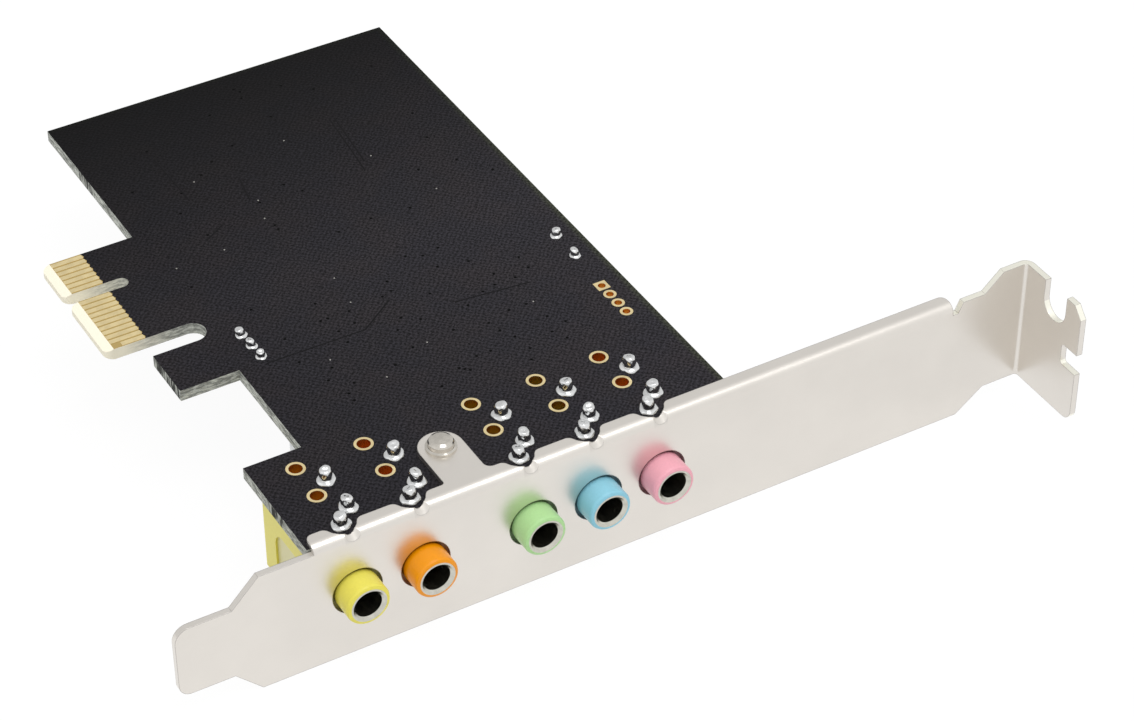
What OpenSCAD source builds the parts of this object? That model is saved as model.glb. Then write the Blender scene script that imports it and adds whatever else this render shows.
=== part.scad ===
// Sound card with a five-jack slot bracket, seen and installed solder side up.
// Sizes are worked out in card coordinates: x from the tip of the bracket's tongue
// towards the screw flange, y from the bracket's outer face into the computer,
// z from the bracket's lower long edge towards the folded edge. Each node is then
// set in the part's own frame, whose origin lies on the flange's seat face.

/* [Bracket] */
// Length of the bracket over the tongue and the flange
bracket_len = 120.02; // [119:0.01:121]
// Width of the bracket up to the top of its folded edge
bracket_w = 18.42; // [18.2:0.01:18.8]
// Thickness of the steel sheet
sheet_t = 0.86; // [0.8:0.01:0.95]
// Outer radius of the folded long edge
fold_r = 1.2; // [1.1:0.05:1.4]
// Depth of the folded long edge behind the outer face
fold_depth = 2.45; // [2.4:0.05:2.7]
// Depth of the screw flange in front of the outer face
flange_depth = 11.43; // [11:0.01:12]
// Length of the tongue before its shoulders
tongue_len = 7.1; // [6.5:0.1:7.5]
// Width of the tongue
tongue_w = 10.19; // [10:0.01:10.4]
// Distance of the screw notch from the outer face
notch_y = 6.2; // [6.1:0.05:6.35]
// Width of the screw notch
notch_w = 4.42; // [4.2:0.01:4.6]
// Radius of the scallops that clear the front pins
scallop_r = 2; // [1.8:0.05:2.1]
// Radius of the blends beside each scallop
blend_r = 1; // [0.8:0.05:1.1]

/* [Board] */
// Thickness of the circuit board
board_t = 1.6; // [1.5:0.05:1.65]
// Distance of the board's far long edge from the outer face
board_far = 94.1; // [93:0.1:95]
// Distance of the board's right edge from the tongue tip
board_right = 76; // [75:0.1:78]
// Distance of the board's left edge from the tongue tip
board_left = 25.4; // [25.2:0.1:25.6]
// Distance of the contact tab's tip from the tongue tip
tab_tip = 12.6; // [12.4:0.1:12.8]
// Width of the key slot in the contact tab
key_w = 1.9; // [1.8:0.05:2]
// Width of one gold contact
contact_w = 0.75; // [0.6:0.05:0.75]

/* [Jacks] */
// Distance of the jack axes from the bracket's lower edge
jack_z = 9.45; // [9.3:0.05:9.6]
// Radius of the coloured bushing
bushing_r = 2.85; // [2.75:0.05:3.1]
// Length of the bushing in front of the bracket
bushing_out = 3; // [2.5:0.1:3.3]
// Radius of the plug's way through the metal sleeve
plug_r = 1.8; // [1.78:0.01:1.85]
// Outer radius of the metal sleeve
sleeve_r = 2.35; // [2.25:0.05:2.45]
// Radius of the bracket's hole round each bushing
jack_hole_r = 3.3; // [3.2:0.05:3.4]

/* [Hidden] */
$fn = 48;
eps = 0.01;

seat_x = bracket_len - sheet_t;
board_top = bracket_w - sheet_t;
board_bot = board_top - board_t;
board_near = 1.1;
fold_in = fold_r - sheet_t;
bend_r = 0.5;
// Ends of the folded edge and the plain edges beside it
fold_x = [18.1, 108.1];
plain_z = 17.4;
flange_z = [3.05, 20.9];
tongue_z = [3.5, 3.5 + tongue_w];
// Lower chamfer beside the flange, and above it the outline up to the flange's top
chamfer_x = [109.85, 113.85];
ear_x = [115.6, 112.9, 109.6, 108.9];
notch_z = 16.9;

// Jack axes from left to right, and where each jack's pins and spare holes lie
jack_x = [23.4, 32.5, 47.2, 56.25, 65.25];
jack_colour = ["#dde04a", "#f08a1c", "#8fd27f", "#7cc8e4", "#f0a5bd"];
pin_dx = 1.9;
pin_y = [5.35, 11];
sleeve_pin = [-0.25, 2.98];
spare_dx = -0.35;
spare_y = [9.03, 14.63];
pin_r = 0.4;
pin_out = 1.7;
jack_half = 4.45;
jack_back = 15.8;
jack_low = 3.2;
sleeve_back = 3.2;
mouth_c = 0.3;
bore_back = 12.6;
cavity_r = 2.25;
rim_round = 0.4;
window_y = [4.2, 12.8];
window_top = 11.1;
window_r = 2.2;
window_t = 0.3;
pocket = [1.5, 2.9];
spring_t = 0.25;
spring_h = 2.2;

// Dents over the bend, one in front of each scallop
dent_r = 1.6;
dent_depth = 0.3;
dent_dx = -0.1;

// Rivet that holds the folded edge's tab to the board
rivet_p = [39.45, 8.6];
rivet_r = 1.35;
tab_r = 2.85;
tab_right_blend = 1;

// Contact tab: the key slot parts eleven contacts from seven
tab_y = [46.4, 66.5];
key_y = 58.37;
key_x = 21.1;
hook_y = [34.8, 42.7];
hook_x = 17.4;
step_y = 17.9;
step_x = 17.7;
bevel = [1.2, 0.38];
contact_x = [tab_tip + bevel[0], 18.1];
contact_t = 0.04;
contact_short = 1.2;
ring_r = 0.95;
ring_out = 1.22;
pitch = 1;

// Plated holes of the header that isn't fitted
header_x = 72.6;
header_y = [20.8, 22.83, 24.87, 26.9];
header_r = 0.5;
// Leads of the regulator beside the hook and of the crystal near the right edge
regulator_leads = [[28.65, 40.9], [28.85, 38.35], [28.95, 35.85]];
crystal_leads = [[72.9, 39.02], [72.9, 34.14]];
lead_r = 0.25;
lead_out = 0.83;
joint_r = 1.3;
lead_joint_r = 0.85;

// Parts on the other side: middle, width, leads a side and lead pitch of each chip,
// and the middles or first corners of the rest
bridge = [[40, 56], 10, 16, 0.5];
audio = [[55, 34], 7, 12, 0.5];
chip_t = 1.4;
chip_gap = 0.1;
regulator_reach = 2.2;
regulator_r = 2.3;
regulator_flat = 1.2;
bridge_crystal_p = [38, 69];
crystal_half = 5.1;
crystal_r = 1.9;
can_y = 24;
can_dx = 6;
far_cans = [[58, 52], [65, 52]];
can_r = 2.5;
can_h = 5.4;
base_half = 2.7;
base_t = 1;
chip_part = [1.6, 0.8];
chip_step = 4.8;
capacitor_row = [32, [29.6, 79], 0.8];
resistor_row = [34, [19.4, 83], 0.45];

module place() {
  translate([-seat_x, notch_y, -bracket_w / 2]) children();
}

function arc(c, r, a0, a1, n) =
  [for (i = [0:n]) let (a = a0 + (a1 - a0) * i / n) [c[0] + r * cos(a), c[1] + r * sin(a)]];

// Stands a shape drawn in x and z up as a sheet behind the outer face
module upright(t) {
  translate([0, t, 0]) rotate([90, 0, 0]) linear_extrude(t) children();
}

// Runs a shape drawn in y and z along x
module along_x(x0, len) {
  translate([x0, 0, 0]) rotate([90, 0, 90]) linear_extrude(len) children();
}

// Bore or turned shape along y, drawn as radius and depth behind the outer face
module turned_y(p) {
  translate(p) rotate([-90, 0, 0]) rotate_extrude() children();
}

module round_off(p, r, sx, sy) {
  difference() {
    translate([p[0] + sx * r / 2 - sx * eps, p[1] + sy * r / 2 - sy * eps])
      square([r + 2 * eps, r + 2 * eps], center = true);
    translate([p[0] + sx * r, p[1] + sy * r]) circle(r);
  }
}

module bracket_flat() {
  difference() {
    polygon([[0, tongue_z[0]], [tongue_len, tongue_z[0]], [tongue_len + 3.4, 0],
      [chamfer_x[0], 0], [chamfer_x[1], flange_z[0]], [seat_x - bend_r, flange_z[0]],
      [seat_x - bend_r, flange_z[1]], [ear_x[0], flange_z[1]], [ear_x[1], bracket_w],
      [ear_x[2], bracket_w], [ear_x[3], notch_z], [fold_x[1], notch_z],
      [fold_x[1], bracket_w - fold_r], [fold_x[0], bracket_w - fold_r],
      [fold_x[0], plain_z], [tongue_len + 3.8, plain_z], [tongue_len + 0.2, tongue_z[1]],
      [0, tongue_z[1]]]);
    round_off([0, tongue_z[1]], 2, 1, -1);
    round_off([0, tongue_z[0]], 1.6, 1, 1);
    for (x = jack_x) translate([x, jack_z]) circle(jack_hole_r);
  }
}

module fold_profile() {
  translate([0, bracket_w - fold_r - eps]) square([sheet_t, eps]);
  intersection() {
    translate([fold_r, bracket_w - fold_r]) difference() {
      circle(fold_r);
      circle(fold_in);
    }
    translate([0, bracket_w - fold_r]) square([fold_r, fold_r]);
  }
  translate([fold_r, board_top]) square([fold_depth - fold_r, sheet_t]);
}

module scallop() {
  sy = 2.65;
  by = fold_depth - blend_r;
  dx = sqrt(pow(scallop_r + blend_r, 2) - pow(sy - by, 2));
  a = atan2(sy - by, dx);
  polygon(concat(arc([-dx, by], blend_r, 90, a, 5),
    arc([0, sy], scallop_r, 180 + a, 360 - a, 10),
    arc([dx, by], blend_r, 180 - a, 90, 5), [[dx, 4], [-dx, 4]]));
}

module rivet_tab() {
  left = rivet_p[0] - tab_r;
  right = rivet_p[0] + tab_r;
  base = fold_depth - 0.6;
  polygon(concat([[right + tab_right_blend, base]],
    arc([right + tab_right_blend, fold_depth + tab_right_blend], tab_right_blend, 270, 180, 6),
    arc(rivet_p, tab_r, 0, 180, 20),
    arc([left - 0.4, fold_depth + 0.4], 0.4, 0, -90, 3), [[left - 0.4, base]]));
}

module flange_face() {
  difference() {
    polygon([[-bend_r, flange_z[0]], [-flange_depth, flange_z[0]],
      [-flange_depth, flange_z[1] - 1.6], [-flange_depth + 1.4, flange_z[1]],
      [-bend_r, flange_z[1]]]);
    round_off([-flange_depth, flange_z[0]], 1.5, 1, 1);
    translate([-notch_y, 18.25]) circle(notch_w / 2);
    translate([-notch_y - notch_w / 2, 18.25]) square([notch_w, 4]);
    difference() {
      translate([-flange_depth - 1, 10.65]) square([flange_depth - 7.4, 3.1]);
      round_off([-8.4, 10.65], 0.5, -1, 1);
      round_off([-8.4, 13.75], 0.5, -1, -1);
    }
  }
}

// Round dent pressed over the bend in front of each scallop
module bend_dent() {
  k = fold_r * (1 - cos(45));
  translate([0, k, bracket_w - k]) rotate([45, 0, 0])
    translate([0, 0, dent_r - dent_depth]) rotate([90, 0, 0])
      cylinder(h = 4, r = dent_r, center = true);
}

// Folded from one sheet: tongue, scalloped long edge with its rivet tab, screw flange
module bracket() {
  color("#e2ded6") place() {
    upright(sheet_t) bracket_flat();
    difference() {
      union() {
        along_x(fold_x[0], fold_x[1] - fold_x[0]) fold_profile();
        translate([0, 0, board_top]) linear_extrude(sheet_t) rivet_tab();
      }
      for (x = jack_x) translate([x + dent_dx, 0, 0]) bend_dent();
      for (x = jack_x) translate([x + sleeve_pin[0] - 0.35, 0, board_top - 2])
        linear_extrude(4) scallop();
      translate([0, 0, board_top - 1]) linear_extrude(3) {
        round_off([fold_x[0], fold_depth], 0.9, 1, -1);
        round_off([fold_x[1], fold_depth], 0.9, -1, -1);
      }
      translate([rivet_p[0], rivet_p[1], board_top - 1]) cylinder(h = 3, r = rivet_r);
    }
    translate([seat_x - bend_r, -bend_r, flange_z[0]])
      linear_extrude(flange_z[1] - flange_z[0]) intersection() {
        difference() {
          circle(bend_r + sheet_t);
          circle(bend_r);
        }
        square(bend_r + sheet_t);
      }
    along_x(seat_x, sheet_t) flange_face();
  }
}

// Solid rivet: a button head on a collar over the tab, and a pressed foot under the board
module bracket_rivet() {
  foot = board_bot - bracket_w;
  color("#d8d4cc") place() translate([rivet_p[0], rivet_p[1], bracket_w]) rotate_extrude()
    polygon([[0, foot - 0.5], [1.2, foot - 0.5], [2, foot - 0.15], [2, foot], [rivet_r, foot],
      [rivet_r, 0], [1.95, 0], [1.95, 0.22], [1.68, 0.34], [1.62, 0.85], [1.48, 1.1],
      [1.15, 1.28], [0.7, 1.36], [0, 1.4]]);
}

module board_outline() {
  slot_c = (hook_y[1] + tab_y[0]) / 2;
  slot_r = (tab_y[0] - hook_y[1]) / 2;
  difference() {
    polygon([[step_x, board_near], [board_right, board_near], [board_right, board_far],
      [board_left, board_far], [board_left, tab_y[1]], [tab_tip, tab_y[1]], [tab_tip, tab_y[0]],
      [board_left - slot_r, tab_y[0]], [board_left - slot_r, hook_y[1]], [hook_x, hook_y[1]],
      [hook_x, hook_y[0]], [board_left, hook_y[0]], [board_left, step_y], [step_x, step_y]]);
    translate([board_left - slot_r, slot_c]) circle(slot_r);
    round_off([tab_tip, tab_y[0]], 1, 1, 1);
    round_off([tab_tip, tab_y[1]], 1, 1, -1);
    round_off([tab_tip, key_y - key_w / 2], 0.8, 1, -1);
    round_off([tab_tip, key_y + key_w / 2], 0.8, 1, 1);
    translate([tab_tip - 1, key_y - key_w / 2])
      square([key_x - key_w / 2 - tab_tip + 1, key_w]);
    translate([key_x - key_w / 2, key_y]) circle(key_w / 2);
    for (x = jack_x) {
      for (y = spare_y) translate([x + spare_dx, y]) circle(ring_r);
      for (y = pin_y) translate([x + pin_dx, y]) circle(pin_r + 0.1);
      translate([x + sleeve_pin[0], sleeve_pin[1]]) circle(pin_r + 0.1);
    }
    for (y = header_y) translate([header_x, y]) circle(header_r + 0.1);
    for (p = concat(regulator_leads, crystal_leads)) translate(p) circle(lead_r + 0.1);
    translate(rivet_p) circle(rivet_r);
  }
}
module circuit_board() {
  color("#2b2a2c") place() difference() {
    translate([0, 0, board_bot]) linear_extrude(board_t) board_outline();
    translate([0, tab_y[1] + 1, 0]) rotate([90, 0, 0]) linear_extrude(tab_y[1] - tab_y[0] + 2) {
      polygon([[tab_tip - 1, board_top + 1], [tab_tip + bevel[0], board_top + 1],
        [tab_tip + bevel[0], board_top], [tab_tip, board_top - bevel[1]],
        [tab_tip - 1, board_top - bevel[1]]]);
      polygon([[tab_tip - 1, board_bot - 1], [tab_tip + bevel[0], board_bot - 1],
        [tab_tip + bevel[0], board_bot], [tab_tip, board_bot + bevel[1]],
        [tab_tip - 1, board_bot + bevel[1]]]);
    }
  }
}

// Eleven contacts on one side of the key slot and seven on the other, one of them short
module contact_row(z, short) {
  color("#d9c489") place() for (i = [for (k = [-11:7]) if (k != 0) k]) {
    y = key_y + (i + sign(i) * 0.5) * pitch;
    x = contact_x[0] + (i == short ? contact_short : 0);
    translate([x, y - contact_w / 2, z]) cube([contact_x[1] - x, contact_w, contact_t]);
  }
}
module contacts_solder_side() { contact_row(board_top, -11); }
module contacts_part_side() { contact_row(board_bot - contact_t, 6); }

// Shallow window in a housing's side, open at the bottom
module side_window() {
  difference() {
    translate([window_y[0], jack_low - 1])
      square([window_y[1] - window_y[0], window_top - jack_low + 1]);
    round_off([window_y[0], window_top], window_r, 1, -1);
    round_off([window_y[1], window_top], window_r, -1, -1);
  }
}

// Moulded housing: bushing, plug's way and the pockets of the two springs
module jack_housing(i) {
  x = jack_x[i];
  color(jack_colour[i]) place() difference() {
    union() {
      translate([x - jack_half, sheet_t, jack_low])
        cube([2 * jack_half, jack_back - sheet_t, board_bot - jack_low]);
      turned_y([x, 0, jack_z])
        polygon([[0, -bushing_out], [bushing_r - rim_round, -bushing_out],
          [bushing_r - 0.3 * rim_round, 0.3 * rim_round - bushing_out],
          [bushing_r, rim_round - bushing_out], [bushing_r, 2], [0, 2]]);
    }
    along_x(x - jack_half - eps, window_t + eps) side_window();
    along_x(x + jack_half - window_t, window_t + eps) side_window();
    turned_y([x, 0, jack_z]) translate([0, -bushing_out - 1])
      square([sleeve_r, sleeve_back + bushing_out + 1]);
    turned_y([x, 0, jack_z]) square([cavity_r, bore_back]);
    for (k = [0, 1]) translate([x + pocket[0], pin_y[k] - [0.7, 2.6][k], jack_z - 1.4])
      cube([pocket[1] - pocket[0], 3.3, board_bot - jack_z + 2.4]);
    translate([x + sleeve_pin[0], sleeve_pin[1], jack_z]) cylinder(h = 10, r = pin_r + 0.05);
  }
}
module lime_jack_housing() { jack_housing(0); }
module orange_jack_housing() { jack_housing(1); }
module green_jack_housing() { jack_housing(2); }
module blue_jack_housing() { jack_housing(3); }
module pink_jack_housing() { jack_housing(4); }

// Metal sleeve that grips the plug's barrel, with its pin through the board
module jack_sleeve(i) {
  x = jack_x[i];
  color("#dcdcda") place() difference() {
    union() {
      turned_y([x, 0, jack_z]) translate([0, -bushing_out])
        square([sleeve_r, sleeve_back + bushing_out]);
      translate([x + sleeve_pin[0], sleeve_pin[1], jack_z + 1.9])
        cylinder(h = board_top + pin_out - jack_z - 1.9, r = pin_r);
    }
    turned_y([x, 0, jack_z]) polygon([[0, -bushing_out - 1], [plug_r + mouth_c, -bushing_out - 1],
      [plug_r + mouth_c, -bushing_out], [plug_r, -bushing_out + mouth_c],
      [plug_r, sleeve_back + 1], [0, sleeve_back + 1]]);
    translate([x - 3, sleeve_back, jack_z - 3]) cube([6, 2, 5.6]);
  }
}
module lime_jack_sleeve() { jack_sleeve(0); }
module orange_jack_sleeve() { jack_sleeve(1); }
module green_jack_sleeve() { jack_sleeve(2); }
module blue_jack_sleeve() { jack_sleeve(3); }
module pink_jack_sleeve() { jack_sleeve(4); }

// Leaf spring on a pin; its bent nose bears on the plug
module jack_spring(i, y, dir) {
  x = jack_x[i] + pin_dx;
  color("#d6c17c") place() {
    translate([x, y, jack_z - spring_h / 2]) linear_extrude(spring_h) polygon([[0, -0.4 * dir],
      [spring_t, -0.4 * dir], [spring_t, 0.6 * dir], [spring_t - 0.3, 1.5 * dir],
      [spring_t + 0.2, 2.3 * dir], [0.2, 2.3 * dir], [-0.3, 1.5 * dir], [0, 0.6 * dir]]);
    translate([x, y - 0.4, jack_z + spring_h / 2 - eps])
      cube([spring_t, 0.8, board_bot - 0.6 - jack_z - spring_h / 2 + eps]);
    translate([x, y, board_bot - 1]) cylinder(h = board_t + pin_out + 1, r = pin_r);
  }
}
module lime_jack_ring_spring() { jack_spring(0, pin_y[0], 1); }
module orange_jack_ring_spring() { jack_spring(1, pin_y[0], 1); }
module green_jack_ring_spring() { jack_spring(2, pin_y[0], 1); }
module blue_jack_ring_spring() { jack_spring(3, pin_y[0], 1); }
module pink_jack_ring_spring() { jack_spring(4, pin_y[0], 1); }
module lime_jack_tip_spring() { jack_spring(0, pin_y[1], -1); }
module orange_jack_tip_spring() { jack_spring(1, pin_y[1], -1); }
module green_jack_tip_spring() { jack_spring(2, pin_y[1], -1); }
module blue_jack_tip_spring() { jack_spring(3, pin_y[1], -1); }
module pink_jack_tip_spring() { jack_spring(4, pin_y[1], -1); }

// Solder domed round one pin, with a bead on the pin's end
module solder_joint(p, r, pin, h) {
  bead = pin + 0.22 * r;
  translate([p[0], p[1], board_top]) rotate_extrude() polygon([[pin, 0], [r, 0],
    [r * 0.97, 0.15 * h], [r * 0.84, 0.33 * h], [bead, 0.46 * h], [bead - 0.06, 0.54 * h],
    [bead, 0.66 * h], [bead, 0.82 * h], [bead * 0.72, 0.96 * h], [0, h + 0.06],
    [0, h - 0.12], [pin, h - 0.12]]);
}
module jack_solder() {
  color("#c9ccce") place() for (x = jack_x) {
    for (y = pin_y) solder_joint([x + pin_dx, y], joint_r, pin_r, pin_out + 0.12);
    solder_joint([x + sleeve_pin[0], sleeve_pin[1]], joint_r, pin_r, pin_out + 0.12);
  }
}

// Plated barrels with a ring on each face, in the jack holes that no pin uses
module hole_rings() {
  color("#d8b877") place() for (x = jack_x) for (y = spare_y)
    translate([x + spare_dx, y, board_bot]) rotate_extrude()
      polygon([[ring_r - 0.08, 0], [ring_r, 0], [ring_r, board_t], [ring_out, board_t],
        [ring_out, board_t + contact_t], [ring_r - 0.08, board_t + contact_t]]);
}

// Plated holes in a row, the first on a square pad
module header_rings() {
  last = len(header_y) - 1;
  color("#d8b877") place() for (i = [0:last]) translate([header_x, header_y[i], board_bot])
    difference() {
      union() {
        cylinder(h = board_t, r = header_r + 0.1);
        translate([0, 0, board_t]) linear_extrude(contact_t) {
          if (i == last) square(1.7, center = true);
          else circle(0.85);
        }
      }
      translate([0, 0, -1]) cylinder(h = board_t + 3, r = header_r);
    }
}

module lead_solder() {
  color("#c9ccce") place() for (p = concat(regulator_leads, crystal_leads))
    solder_joint(p, lead_joint_r, lead_r, lead_out + 0.12);
}

// Three-lead regulator, laid flat under the board on leads bent inwards
module regulator() {
  p = regulator_leads[1];
  start = p[0] + regulator_reach;
  mid_z = board_bot - regulator_flat - 0.3;
  color("#3a3a3c") place() translate([start, p[1], mid_z]) difference() {
    rotate([0, 90, 0]) cylinder(h = 2 * regulator_r, r = regulator_r);
    translate([-1, -3, regulator_flat]) cube([7, 6, 3]);
  }
  color("#c9ccce") place() for (q = regulator_leads) {
    mid_y = p[1] + (q[1] - p[1]) * 0.5;
    translate([q[0], q[1], mid_z - lead_r])
      cylinder(h = board_top + lead_out - mid_z + lead_r, r = lead_r);
    translate([q[0] - lead_r, min(q[1], mid_y) - lead_r, mid_z - lead_r])
      cube([2 * lead_r, abs(q[1] - mid_y) + 2 * lead_r, 2 * lead_r]);
    translate([q[0] - lead_r, mid_y - lead_r, mid_z - lead_r])
      cube([start - q[0] + lead_r + 0.3, 2 * lead_r, 2 * lead_r]);
  }
}

// Flat square chip hung under the board, and its gull-wing leads
module chip(c) {
  color("#2f2f31") place() translate([c[0][0], c[0][1], board_bot - chip_gap - chip_t])
    difference() {
      translate([-c[1] / 2, -c[1] / 2, 0]) cube([c[1], c[1], chip_t]);
      translate([-c[1] / 2 + 1, -c[1] / 2 + 1, -eps]) cylinder(h = 0.15, r = 0.4);
    }
}
module chip_leads(c) {
  h = chip_gap + chip_t / 2;
  color("#c4c6c8") place() translate([c[0][0], c[0][1], board_bot]) for (a = [0:90:270])
    rotate([0, 0, a]) for (i = [0:c[2] - 1])
      translate([c[1] / 2, (i - (c[2] - 1) / 2) * c[3] + 0.11, 0]) rotate([90, 0, 0])
        linear_extrude(0.22) polygon([[0, -h - 0.07], [0.4, -h - 0.07], [0.55, -0.15],
          [1, -0.15], [1, 0], [0.42, 0], [0.27, -h + 0.08], [0, -h + 0.08]]);
}
module bridge_chip() { chip(bridge); }
module bridge_chip_leads() { chip_leads(bridge); }
module audio_chip() { chip(audio); }
module audio_chip_leads() { chip_leads(audio); }

// Drawn oval can on a flanged base, along x, hung h under the board
module crystal_can(half, r, h, tall) {
  translate([0, 0, board_bot - h - tall]) {
    for (s = [-1, 1]) translate([s * (half - r), 0, 0]) cylinder(h = tall - 0.6, r = r);
    translate([r - half, -r, 0]) cube([2 * (half - r), 2 * r, tall - 0.6]);
    translate([-half - 0.4, -r - 0.4, tall - 0.6]) cube([2 * half + 0.8, 2 * r + 0.8, 0.6]);
  }
}
module bridge_crystal() {
  color("#cfcfca") place() translate([bridge_crystal_p[0], bridge_crystal_p[1], 0])
    crystal_can(crystal_half, crystal_r, 0, 4.1);
}
// Its two leads pass through the board
module audio_crystal() {
  mid = (crystal_leads[0] + crystal_leads[1]) / 2;
  color("#cfcfca") place() {
    translate([mid[0], mid[1], 0]) rotate([0, 0, 90])
      crystal_can(crystal_half, crystal_r, 0.2, 3.6);
    for (q = crystal_leads) translate([q[0], q[1], board_bot - 0.5])
      cylinder(h = board_t + 0.5 + lead_out, r = lead_r);
  }
}

// Aluminium cans on square plastic bases: four behind the jacks and two by the chips
can_p = concat([for (i = [0:3]) [jack_x[i] + can_dx, can_y]], far_cans);
module capacitor_cans() {
  neck = can_r - 0.2;
  color("#cfd1d2") place() for (p = can_p) translate([p[0], p[1], board_bot]) rotate_extrude()
    polygon([[0, -base_t], [can_r, -base_t], [can_r, -1.5], [neck, -1.8], [can_r, -2.1],
      [can_r, 0.2 - can_h], [neck, -can_h], [0, -can_h]]);
}
module capacitor_bases() {
  b = base_half;
  color("#38383a") place() for (p = can_p) translate([p[0], p[1], board_bot - base_t])
    linear_extrude(base_t) polygon([[-b, -b], [b, -b], [b, b - 1], [b - 1, b], [1 - b, b],
      [-b, b - 1]]);
}

// Small ceramic parts in two rows of eight: first x, each row's y, and height
module chip_rows(row) {
  for (i = [0:7], y = row[1]) translate([row[0] + i * chip_step, y, board_bot - row[2]])
    cube([chip_part[0], chip_part[1], row[2]]);
}
module chip_capacitors() { color("#b79c74") place() chip_rows(capacitor_row); }
module chip_resistors() { color("#353538") place() chip_rows(resistor_row); }

circuit_board();
contacts_solder_side();
contacts_part_side();
bracket();
bracket_rivet();
lime_jack_housing();
orange_jack_housing();
green_jack_housing();
blue_jack_housing();
pink_jack_housing();
lime_jack_sleeve();
orange_jack_sleeve();
green_jack_sleeve();
blue_jack_sleeve();
pink_jack_sleeve();
lime_jack_ring_spring();
orange_jack_ring_spring();
green_jack_ring_spring();
blue_jack_ring_spring();
pink_jack_ring_spring();
lime_jack_tip_spring();
orange_jack_tip_spring();
green_jack_tip_spring();
blue_jack_tip_spring();
pink_jack_tip_spring();
jack_solder();
hole_rings();
header_rings();
lead_solder();
regulator();
bridge_chip();
bridge_chip_leads();
audio_chip();
audio_chip_leads();
audio_crystal();
bridge_crystal();
capacitor_cans();
capacitor_bases();
chip_capacitors();
chip_resistors();
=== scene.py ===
"""Finishes, small surfaces, light and camera for the five-jack sound card.

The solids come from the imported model. This file gives each of them the finish of the
real part, adds the solder, the vias and the covered tracks as surfaces, and sets up the
studio. Lengths are in millimetres along the card's own axes, unless a comment says
otherwise.
"""

import bpy
import numpy as np
from bpy.props import FloatProperty, FloatVectorProperty, IntProperty, PointerProperty
from mathutils import Matrix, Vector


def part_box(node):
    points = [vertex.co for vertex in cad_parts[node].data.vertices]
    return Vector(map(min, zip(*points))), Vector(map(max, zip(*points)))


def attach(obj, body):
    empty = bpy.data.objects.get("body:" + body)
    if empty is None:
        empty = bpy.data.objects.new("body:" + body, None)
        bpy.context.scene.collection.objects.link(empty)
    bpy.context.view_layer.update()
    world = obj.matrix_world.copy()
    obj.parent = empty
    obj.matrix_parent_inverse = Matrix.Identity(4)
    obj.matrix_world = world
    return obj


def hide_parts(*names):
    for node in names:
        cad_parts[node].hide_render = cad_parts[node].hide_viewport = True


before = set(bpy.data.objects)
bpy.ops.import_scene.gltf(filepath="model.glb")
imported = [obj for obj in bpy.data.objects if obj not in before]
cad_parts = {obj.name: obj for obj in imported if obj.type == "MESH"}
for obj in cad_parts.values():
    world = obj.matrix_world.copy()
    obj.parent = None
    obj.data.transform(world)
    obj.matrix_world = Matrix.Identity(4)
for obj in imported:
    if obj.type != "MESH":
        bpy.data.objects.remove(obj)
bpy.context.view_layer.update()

bl_info = {
    "name": "Sound card looks",
    "version": (1, 0, 0),
    "blender": (4, 5, 0),
    "location": "3D View > Sidebar > Sound card",
    "description": "Finishes, solder, vias and studio for the sound card",
    "category": "Object",
}

MM = 0.001
# Card coordinates of the row frame's origin: x from the bracket's tongue tip, y from its
# outer face into the computer, z from its lower long edge
ORIGIN = np.array([119.16, -6.2, 9.21])
COLOURS = ["lime", "orange", "green", "blue", "pink"]
BOARD_LOW, BOARD_TOP = [float(corner[2] / MM + ORIGIN[2]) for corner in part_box("circuit_board")]
JACK_X = [float(sum(corner[0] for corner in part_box(f"{colour}_jack_housing")) / 2 / MM
                + ORIGIN[0]) for colour in COLOURS]
# A face this close to the board's top or bottom carries the mask
MASK_SKIN = 0.004
# Edges torn when the board was broken from its panel: middle in y, half length, and the x
# that they all lie before
TORN = ((9.5, 2.2), (39.2, 4.0), (81.2, 2.5))
TORN_BEFORE = 26
# Where the mask's thin border begins and ends, along x and along y, and from where to where
# the mask is painted paler as a painted sheen, along x and along y
BORDER = ((75.0, 75.9), (93.2, 94.1))
PALER = ((25, 75), (94, 48))
# The contact tab: where it begins in y, from where to where in x its edge turns cream,
# where the mask starts in x, the y below which the mask covers both faces whole, and the
# middle of one contact
TAB_Y = 44
CREAM_X = (22.5, 15)
MASK_X = 18.15
TAB_MASK_Y = 43.8
CONTACT_Y = 58.87
# The jacks: height of their axes, the bore and the face against the bracket with its half depth,
# which are painted dark as painted shade, the height above which the housing is painted darker
# and browner as painted shade under the board, and how far out the side windows' floors lie
JACK_Z = 9.45
BORE_R = 2.5
BORE_Y = 2.9
SEAT = (0.6, 0.3)
UNDER_BOARD_SHADE_Z = 15.93
WINDOW_OUT = 4.15
# The bend's dents: their middles beside the jacks, half width, and where their painted shade
# starts and is full in height; and where the flange's cut edges, painted bright as a painted
# highlight, begin in x
DENT = (-0.25, 0.95)
DENT_Z = (16.9, 17.5)
FLANGE_X = 108.2
# Three pins to a jack: beside its axis, from the bracket, and each bead's lean in x
PINS = ((-0.25, 2.98, -0.12), (1.9, 5.35, -0.15), (1.9, 11, -0.05))
# Five leads through the board and the lean of each bead in x and y
LEADS = ((28.65, 40.9), (28.85, 38.35), (28.95, 35.85), (72.9, 39.02), (72.9, 34.14))
LEAD_LEANS = ((-0.25, 0.2), (-0.2, 0.15), (-0.15, -0.1), (0.1, 0.15), (-0.1, 0.15))
REGULATOR_BODY_X = 31.0
# The pin beads' lean in y
PIN_LEAN_Y = 0.05
# The pins are tinned from this far under the board's top, and the gold of the holes is
# painted dark amber, as painted shade, up to this far from the board's middle
WETTED = 0.2
HOLE_SHADE_HALF = 0.72
# Surfaces on the board start this far inside it
SUNK = 0.02
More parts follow.
